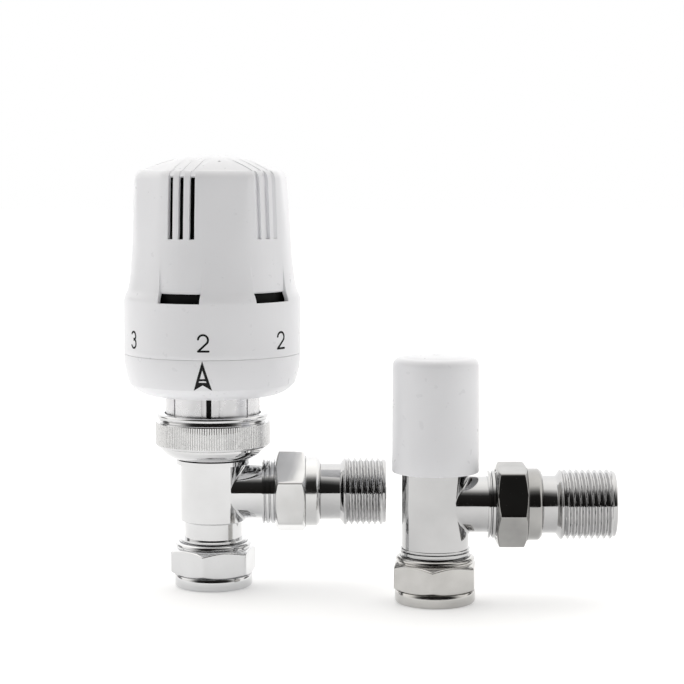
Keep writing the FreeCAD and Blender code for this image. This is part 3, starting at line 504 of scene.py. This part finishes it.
def new_tree(name, inputs):
    """An empty geometry tree with named number inputs and one geometry output."""
    shape = bpy.data.node_groups.new(name, "GeometryNodeTree")
    shape.interface.new_socket("Geometry", in_out="INPUT", socket_type="NodeSocketGeometry")
    shape.interface.new_socket("Geometry", in_out="OUTPUT", socket_type="NodeSocketGeometry")
    for label, kind in inputs:
        shape.interface.new_socket(label, in_out="INPUT", socket_type=kind)
    return shape, shape.nodes.new("NodeGroupInput"), shape.nodes.new("NodeGroupOutput")


def grown(name, shape, values):
    """The plain mesh that a geometry tree makes with its inputs set to the given values."""
    seed = bpy.data.objects.new(name + "_seed", bpy.data.meshes.new(name + "_seed"))
    bpy.context.collection.objects.link(seed)
    modifier = seed.modifiers.new("shape", "NODES")
    modifier.node_group = shape
    for item in shape.interface.items_tree:
        if item.in_out == "INPUT" and item.name in values:
            modifier[item.identifier] = values[item.name]
    bpy.context.view_layer.update()
    mesh = bpy.data.meshes.new_from_object(seed.evaluated_get(bpy.context.evaluated_depsgraph_get()))
    bpy.data.objects.remove(seed)
    mesh.name = name
    return bpy.data.objects.new(name, mesh)


knurl, given, result = new_tree("straight_knurl", [
    ("Ribs", "NodeSocketInt"), ("Radius", "NodeSocketFloat"), ("Rib Width", "NodeSocketFloat"),
    ("Height", "NodeSocketFloat"), ("Middle", "NodeSocketFloat"), ("Finish", "NodeSocketMaterial")])
circle = knurl.nodes.new("GeometryNodeMeshCircle")
knurl.links.new(given.outputs["Ribs"], circle.inputs["Vertices"])
knurl.links.new(given.outputs["Radius"], circle.inputs["Radius"])
rib = knurl.nodes.new("GeometryNodeMeshCylinder")
rib.inputs["Vertices"].default_value = 8
knurl.links.new(given.outputs["Rib Width"], rib.inputs["Radius"])
knurl.links.new(given.outputs["Height"], rib.inputs["Depth"])
outward = knurl.nodes.new("FunctionNodeAlignRotationToVector")
outward.axis = "X"
outward.pivot_axis = "Z"
spot = knurl.nodes.new("GeometryNodeInputPosition")
knurl.links.new(spot.outputs["Position"], outward.inputs["Vector"])
standing = knurl.nodes.new("GeometryNodeInstanceOnPoints")
knurl.links.new(outward.outputs["Rotation"], standing.inputs["Rotation"])
knurl.links.new(circle.outputs["Mesh"], standing.inputs["Points"])
knurl.links.new(rib.outputs["Mesh"], standing.inputs["Instance"])
lifted = knurl.nodes.new("GeometryNodeTransform")
offset = knurl.nodes.new("ShaderNodeCombineXYZ")
knurl.links.new(given.outputs["Middle"], offset.inputs["Z"])
knurl.links.new(offset.outputs["Vector"], lifted.inputs["Translation"])
solid = knurl.nodes.new("GeometryNodeRealizeInstances")
coated = knurl.nodes.new("GeometryNodeSetMaterial")
knurl.links.new(standing.outputs["Instances"], lifted.inputs["Geometry"])
knurl.links.new(lifted.outputs["Geometry"], solid.inputs["Geometry"])
knurl.links.new(solid.outputs["Geometry"], coated.inputs["Geometry"])
knurl.links.new(given.outputs["Finish"], coated.inputs["Material"])
knurl.links.new(coated.outputs["Geometry"], result.inputs["Geometry"])

ribs = grown("coupling_knurl", knurl, {"Ribs": 150, "Radius": 17.36 * mm, "Rib Width": 0.33 * mm,
                                       "Height": 6.7 * mm, "Middle": 48.15 * mm, "Finish": knurl_steel})
ribs.data.materials.clear()
link(ribs, "head_coupling", knurl_steel)

# ---------------------------------------------------------------- pointer ring
# The fixed white ring under the turning head, a moulded bowl with a thin open joint above it. A
# printed arrow points up at the number that the head is set to.

white, tree, shader = finish("white_plastic", (0.82, 0.825, 0.85), 0, 0.32)
vary(tree, cloudy(tree, 350), shader.inputs["Roughness"], 0.27, 0.37)
tint(tree, cloudy(tree, 40), shader.inputs["Base Color"], (0.81, 0.815, 0.84), (0.83, 0.835, 0.86))
relief(tree, cloudy(tree, 5000, detail=1.0), shader, 0.000004)
wear("pointer_ring", white)

ink, tree, shader = finish("black_ink", (0.006, 0.006, 0.007), 0, 0.6)
shader.inputs["Specular IOR Level"].default_value = 0.2
vary(tree, cloudy(tree, 2000), shader.inputs["Roughness"], 0.5, 0.7)

ink_thickness = 0.04
arrow_azimuth = -3.0
arrow_top = 73.0
arrow_bottom = 64.0
arrow_half = 2.75
arrow_line = 0.8
skirt_reach = 27.2


def arc_reach(height, foot, top, radius):
    """The reach at a height of an arc that bulges outwards between two (reach, height) ends."""
    chord = hypot(top[0] - foot[0], top[1] - foot[1])
    rise = sqrt(radius * radius - chord * chord / 4)
    middle = ((foot[0] + top[0]) / 2, (foot[1] + top[1]) / 2)
    centre = (middle[0] - (top[1] - foot[1]) / chord * rise,
              middle[1] + (top[0] - foot[0]) / chord * rise)
    return centre[0] + sqrt(max(radius * radius - (height - centre[1]) ** 2, 0))


def ring_reach(height):
    """The outside radius of the pointer ring at a height."""
    if height > 63.9:
        return arc_reach(height, (25.5, 63.9), (skirt_reach, 72.2), 26) if height < 72.2 else skirt_reach
    return arc_reach(height, (19.5, 60.4), (25.5, 63.9), 9.5)


def add_print(form, pairs, azimuth, reach):
    """Lay a strip of ink, given as pairs of (across, height) points, on a round surface."""
    rows = []
    for pair in pairs:
        row = []
        for across, height in pair:
            for skin in (-0.05, ink_thickness):
                radius = reach(height) + skin
                angle = radians(azimuth) + across / reach(height)
                spot = (radius * sin(angle), -radius * cos(angle), height)
                row.append(form.verts.new([part * mm for part in spot]))
        rows.append(row)
    for (a, b, c, d), (e, f, g, h) in zip(rows, rows[1:]):
        for face in ((b, d, h, f), (a, e, g, c), (a, b, f, e), (c, g, h, d)):
            form.faces.new(face)
    for row in (rows[0], rows[-1]):
        form.faces.new((row[0], row[1], row[3], row[2]))


def arrow_side(across):
    return arrow_top - (arrow_top - arrow_bottom) * abs(across) / arrow_half


def arrow_strips():
    """The ink of the arrow: two sides, a band, and a notched tail under a thin gap."""
    height = arrow_top - arrow_bottom
    for side in (-1, 1):
        edge = []
        for step in range(13):
            across = side * arrow_half * 0.74 * step / 12
            inner = max(abs(across) - arrow_line * hypot(arrow_half, height) / height, 0)
            level = arrow_side(across)
            edge.append(((side * inner, level), (across + side * 0.02, level)))
        yield edge
    for top, bottom, bow in ((0.60, 0.70, 0.0), (0.75, None, 0.25)):
        reach = arrow_half * (0.70 if bottom else 0.985)
        strip = []
        for step in range(-16, 17):
            across = reach * step / 16
            sag = bow * (1 - (across / arrow_half) ** 2)
            upper = min(arrow_top - height * top + sag, arrow_side(across))
            if bottom:
                lower = min(arrow_top - height * bottom, arrow_side(across)) - 0.004
                lower += 0.3 * (1 - (across / reach) ** 2)
            else:
                lower = arrow_bottom + 1.7 * (1 - abs(across) / arrow_half)
            strip.append(((across, min(lower, upper - 0.01)), (across, upper)))
        yield strip


form = bmesh.new()
for strip in arrow_strips():
    add_print(form, strip, arrow_azimuth, ring_reach)
link(to_piece("pointer_arrow", form), "valves", ink)

# ---------------------------------------------------------------- turning head
# The white moulded cap that sets the temperature. Its round skirt steps in to a body with five
# flats; between them are groups of three air slots, each over a sunk panel with a window. One
# group is only grooved. A black sleeve that turns with the shell takes the drive cage's place
# inside it; it is closed all round, so it paints the shade seen through the slots and windows.

corner_azimuths = (-19.0, 47.0, 120.5, 194.0, 267.5)
blind_corner = 1
skin = 1.3
slot_half = 0.775
slot_spacing = 3.5
panel_half = 7.0
window_half = 6.7
window_low, window_high = 89.9, 93.1
slot_low = 109.0
slot_high = 128.4
dome_arc = 48.7
head_top = 134.0


def dome_height(reach):
    return head_top - dome_arc + sqrt(dome_arc ** 2 - reach ** 2)


def head_profile():
    """The head's outline from its hem to near its middle, as (reach, height)."""
    corners = [(26.95, 73.14), (27.12, 73.18), (skirt_reach, 73.34), (skirt_reach, 90.0),
               (27.08, 90.7), (26.85, 91.4),
               (26.55, 92.0), (26.15, 93.0), (25.7, 95.2), (25.3, 98.0), (24.9, 101.0), (24.55, 105.5),
               (24.2, 115.0), (23.6, 126.4)]
    shoulder = [(23.6 - 3.2 * (1 - cos(radians(turn))), 126.4 + 3.2 * sin(radians(turn)))
                for turn in (14, 28, 42, 54, 64)]
    return corners, shoulder


def head_rows():
    """Heights where the grid has a row: the edges of every opening, and enough between them."""
    corners, shoulder = head_profile()
    heights = [73.14, 73.18, 73.34, 74.6, 77, 80, 83, 86, 88.4, 89.3, window_low - 0.18, window_low,
               90.6, 91.4, 92.2, window_high, window_high + 0.18, 94.2, 95.2, 96.6, 98, 99.5, 101, 103,
               105, 107, 108.2, slot_low - 0.18, slot_low, 110, 112, 115, 117,
               119, 121, 122.5, 124, 125.2, 126.4]
    rows = []
    for height in heights:
        for (reach, low), (further, high) in zip(corners, corners[1:]):
            if low <= height <= high:
                rows.append((reach + (further - reach) * (height - low) / (high - low), height))
                break
    rows += shoulder
    on_dome = (20.9, 20.2, 19, 17.4, 15.6, 13.8, 12, 10.4, 9.5, 8, 6, 4, 2)
    rows += [(reach, dome_height(reach)) for reach in on_dome]
    return rows


def column_places():
    """Half a corner's columns: true distances across while they are on the slots and the panel,
    then shares of the way to the middle of the flat."""
    across = [0.0]
    for middle in (0.0, slot_spacing):
        for edge in (-slot_half - 0.14, -slot_half, slot_half, slot_half + 0.14):
            if middle + edge > 0:
                across.append(middle + edge)
    across += [5.4, window_half - 0.14, window_half, window_half + 0.14, panel_half + 0.1]
    shares = (0.10, 0.22, 0.36, 0.50, 0.64, 0.78, 0.90, 1.0)
    return sorted(across), shares


def smooth_step(low, high, at):
    share = min(max((at - low) / (high - low), 0), 1)
    return share * share * (3 - 2 * share)


def greater_zero(size, soft):
    """A size, or nothing where it is negative, rounded between the two."""
    return (size + sqrt(size * size + soft * soft)) / 2


def flat_cut(reach, height, off_corner, half_side):
    """How much a flat takes off the round body."""
    apothem = 22.5 + (25.9 - 22.5) * min(max((127 - height) / 34, 0), 1)
    plane = apothem / cos(half_side - min(abs(off_corner), half_side))
    if height <= 126.4:
        return greater_zero(reach - plane, 0.35) * smooth_step(91.0, 94.0, height)
    return greater_zero(23.6 - plane, 0.35) * smooth_step(9, 21.5, reach)


def opening_cut(reach, height, across, blind):
    """How deep the sunk panel, the slots' rounded rims and the grooves on the dome go in. Blind
    slots do not go through."""
    off = abs(across)
    if off < window_half + 0.01 and window_high <= height < 101.5:
        return max(reach - 24.2 - (115 - height) * 0.053, 0)
    rim = 0.0
    for middle in (0.0, slot_spacing):
        if abs(off - middle) < slot_half + 0.01 and height > slot_low - 0.01:
            if height < slot_high:
                rim = 1.0 if blind and slot_low <= height and abs(off - middle) <= slot_half else 0.13
            else:
                rim = 0.55 * smooth_step(9.0, 15.0, reach)
    if off < window_half + 0.01 and window_low - 0.01 <= height <= window_high + 0.01:
        rim = max(rim, 0.13)
    return rim


def is_open(across_low, across_high, low, high):
    """Whether a cell of the grid is part of a slot or a window."""
    middle = abs(across_low + across_high) / 2
    if low >= window_low - 0.001 and high <= window_high + 0.001:
        return middle < window_half
    if low >= slot_low - 0.001 and high <= slot_high:
        return min(middle, abs(middle - slot_spacing)) < slot_half
    return False


def make_head(name):
    rows = head_rows()
    across, shares = column_places()
    half = [("across", place) for place in across[1:]] + [("share", share) for share in shares]
    columns = [("share", -share) for share in reversed(shares[:-1])]
    columns += [("across", -place) for place in reversed(across[1:])] + [("across", 0.0)] + half
    form = bmesh.new()
    walls = ([], [])
    slopes = []
    for row, (reach, height) in enumerate(rows):
        before, after = rows[max(row - 1, 0)], rows[min(row + 1, len(rows) - 1)]
        run, rise = after[0] - before[0], after[1] - before[1]
        size = hypot(run, rise)
        slopes.append((rise / size, -run / size))
    for corner, azimuth in enumerate(corner_azimuths):
        left = radians((azimuth - corner_azimuths[corner - 1]) % 360 / 2)
        right = radians((corner_azimuths[(corner + 1) % 5] - azimuth) % 360 / 2)
        for kind, place in columns:
            half_side = right if place > 0 else left
            lines = ([], [])
            for (reach, height), (out, up) in zip(rows, slopes):
                holding = max(reach, 9.5)
                if kind == "across":
                    off_corner = asin(place / holding)
                    off = place
                else:
                    edge = asin((panel_half + 0.1) / holding)
                    off_corner = (edge + abs(place) * (half_side - edge)) * (1 if place > 0 else -1)
                    off = 99
                skirt = reach - flat_cut(reach, height, off_corner, half_side)
                outer = skirt - opening_cut(reach, height, off, corner == blind_corner)
                angle = radians(azimuth) + off_corner
                inner = max(skirt - skin * out, 0.4)
                for line, radius, level in ((lines[0], outer, height),
                                            (lines[1], inner, height - skin * up)):
                    spot = (radius * sin(angle), -radius * cos(angle), level)
                    line.append(form.verts.new([part * mm for part in spot]))
            for wall, line in zip(walls, lines):
                wall.append(line)
    outside, inside = walls
    count = len(outside)
    edges = [place if kind == "across" else 99 for kind, place in columns] * 5
    holes = set()
    for column in range(count):
        following = (column + 1) % count
        if 99 in (edges[column], edges[following]):
            continue
        for row in range(len(rows) - 1):
            blind = column // len(columns) == blind_corner and rows[row][1] > slot_low - 1
            if not blind and is_open(edges[column], edges[following], rows[row][1], rows[row + 1][1]):
                holes.add((column, row))
    for column in range(count):
        following = (column + 1) % count
        for row in range(len(rows) - 1):
            if (column, row) in holes:
                sides = (((column - 1) % count, row, (column, row), (column, row + 1)),
                         (following, row, (following, row), (following, row + 1)),
                         (column, row - 1, (column, row), (following, row)),
                         (column, row + 1, (column, row + 1), (following, row + 1)))
                for beside, level, start, end in sides:
                    if (beside, level) not in holes:
                        form.faces.new((outside[start[0]][start[1]], outside[end[0]][end[1]],
                                        inside[end[0]][end[1]], inside[start[0]][start[1]]))
                continue
            # The outer wall wears the white finish and the inner wall the second, black one: painted shade
            # inside the white shell.
            for index, wall in enumerate(walls):
                face = form.faces.new((wall[column][row], wall[following][row],
                                       wall[following][row + 1], wall[column][row + 1]))
                face.material_index = index
        form.faces.new((outside[column][0], outside[following][0],
                        inside[following][0], inside[column][0]))
    for wall, level in ((outside, head_top), (inside, head_top - skin)):
        peak = form.verts.new((0, 0, level * mm))
        for column in range(count):
            form.faces.new((wall[column][-1], wall[(column + 1) % count][-1], peak))
    return to_piece(name, form, 30)


setting_head = link(make_head("setting_head"), "head", white, ["handwheel"])
# The second finish, black, is for the shell's inner wall: painted shade.
setting_head.data.materials.append(black)
# The sleeve takes the drive cage's place but is closed all round: a black liner that paints the shade
# behind the slots and windows.
shade_sleeve_rings = [(17.4, 80.0), (24.7, 80.0), (24.3, 93.3), (19.0, 95.0), (19.0, 125.5), (17.4, 125.5)]
link(turned("drive_sleeve_painted_shade", shade_sleeve_rings, ring_angles), "head", black, ["drive_cage"])

# The numbers are printed round the skirt in a plain stroke, 0.6 mm wide.


def arc_points(centre, radius, start, end, steps=14):
    angles = [radians(start + (end - start) * step / steps) for step in range(steps + 1)]
    return [(centre[0] + radius * cos(angle), centre[1] + radius * sin(angle)) for angle in angles]


digits = {
    1: [[(-1.0, 1.55), (0.25, 2.45)], [(0.25, 2.45), (0.25, -2.45)]],
    2: [arc_points((0.0, 1.0), 1.5, 172, -38) + [(-1.5, -2.4)], [(-1.5, -2.4), (1.65, -2.4)]],
    3: [arc_points((-0.05, 1.2), 1.25, 150, -80), arc_points((-0.05, -1.05), 1.42, 82, -152)],
    4: [[(0.8, -2.45), (0.8, 2.45)], [(0.8, 2.45), (-1.6, -0.95)], [(-1.6, -0.95), (1.6, -0.95)]],
    5: [[(1.4, 2.4), (-1.0, 2.4)], [(-1.0, 2.4), (-1.25, 0.2)],
        arc_points((-0.1, -0.85), 1.55, 140, -150)],
}
stroke = 0.31
number_height = 78.3


def stroke_pairs(points):
    """Both sides of a round-ended stroke along a line of points."""
    fine = [points[0]]
    for start, end in zip(points, points[1:]):
        parts = max(ceil(hypot(end[0] - start[0], end[1] - start[1]) / 0.5), 1)
        fine += [(start[0] + (end[0] - start[0]) * part / parts,
                  start[1] + (end[1] - start[1]) * part / parts) for part in range(1, parts + 1)]
    pairs = []
    for index, point in enumerate(fine):
        before, after = fine[max(index - 1, 0)], fine[min(index + 1, len(fine) - 1)]
        size = hypot(after[0] - before[0], after[1] - before[1])
        ahead = ((after[0] - before[0]) / size, (after[1] - before[1]) / size)
        caps = [(0.0, 1.0)]
        if index == 0:
            caps = [(-cos(radians(turn)), sin(radians(turn))) for turn in (8, 35, 65)] + caps
        if index == len(fine) - 1:
            caps = caps + [(cos(radians(turn)), sin(radians(turn))) for turn in (65, 35, 8)]
        for along, wide in caps:
            x, y = point[0] + ahead[0] * along * stroke, point[1] + ahead[1] * along * stroke
            side = (-ahead[1] * wide * stroke, ahead[0] * wide * stroke)
            pairs.append(((x + side[0], y + side[1] + number_height),
                          (x - side[0], y - side[1] + number_height)))
    return pairs


form = bmesh.new()
for digit, azimuth in ((3, -57.2), (2, -2.4), (2, 52.8), (1, 108.0), (5, 192.4), (4, -112.4)):
    for line in digits[digit]:
        add_print(form, stroke_pairs(line), azimuth, lambda height: skirt_reach)
link(to_piece("head_numbers", form), "head", ink)

# ---------------------------------------------------------------- sensor
# A drawn aluminium can of wax stands in the middle of the head and pushes the valve's pin. It
# shows only as a glint behind the slots.

drawn_can, tree, shader = finish("drawn_aluminium", (0.72, 0.72, 0.73), 1, 0.3)
vary(tree, cloudy(tree, 500, (2, 2, 0.2)), shader.inputs["Roughness"], 0.22, 0.4)
wear("sensor_capsule", drawn_can)

# ---------------------------------------------------------------- lockshield cap
# A plain white push-on cover over the lockshield's square spindle. It is moulded with a rounded
# top edge, and a shallow ring marks where the socket inside meets the top.

cap = 13.0
cap_low = 39.5
cap_high = 74.6
cap_rings = [(11.0, cap_low + 0.1), (12.5, cap_low), (12.85, cap_low + 0.08), (cap, cap_low + 0.35),
             (cap, 45.0), (12.97, 55.0), (12.93, 65.0)]
cap_rings += [(reach, cap_high - drop) for reach, drop in (
    (12.9, 3.2), (12.82, 2.5), (12.55, 1.85), (12.1, 1.3), (11.5, 0.92), (10.8, 0.74), (9.9, 0.6),
    (9.75, 0.64), (9.65, 0.64), (9.5, 0.56), (7.0, 0.3), (4.0, 0.1), (1.6, 0.02), (1.3, 0.07), (1.1, 0.18),
    (0, 0.2), (0, 2.2), (7.9, 2.35), (8.2, 2.5))]
cap_rings += [(8.2, 46.4), (8.4, 46.2), (9.5, 46.2), (9.7, 46.4), (9.7, cap_high - 2.6),
              (10.8, cap_high - 2.7), (11.0, cap_high - 3.0)]
cover = turned("lockshield_cover", cap_rings, ring_angles, ls_axis, limit=40)
link(cover, "lockshield_cap", white, ["ls_cap"])
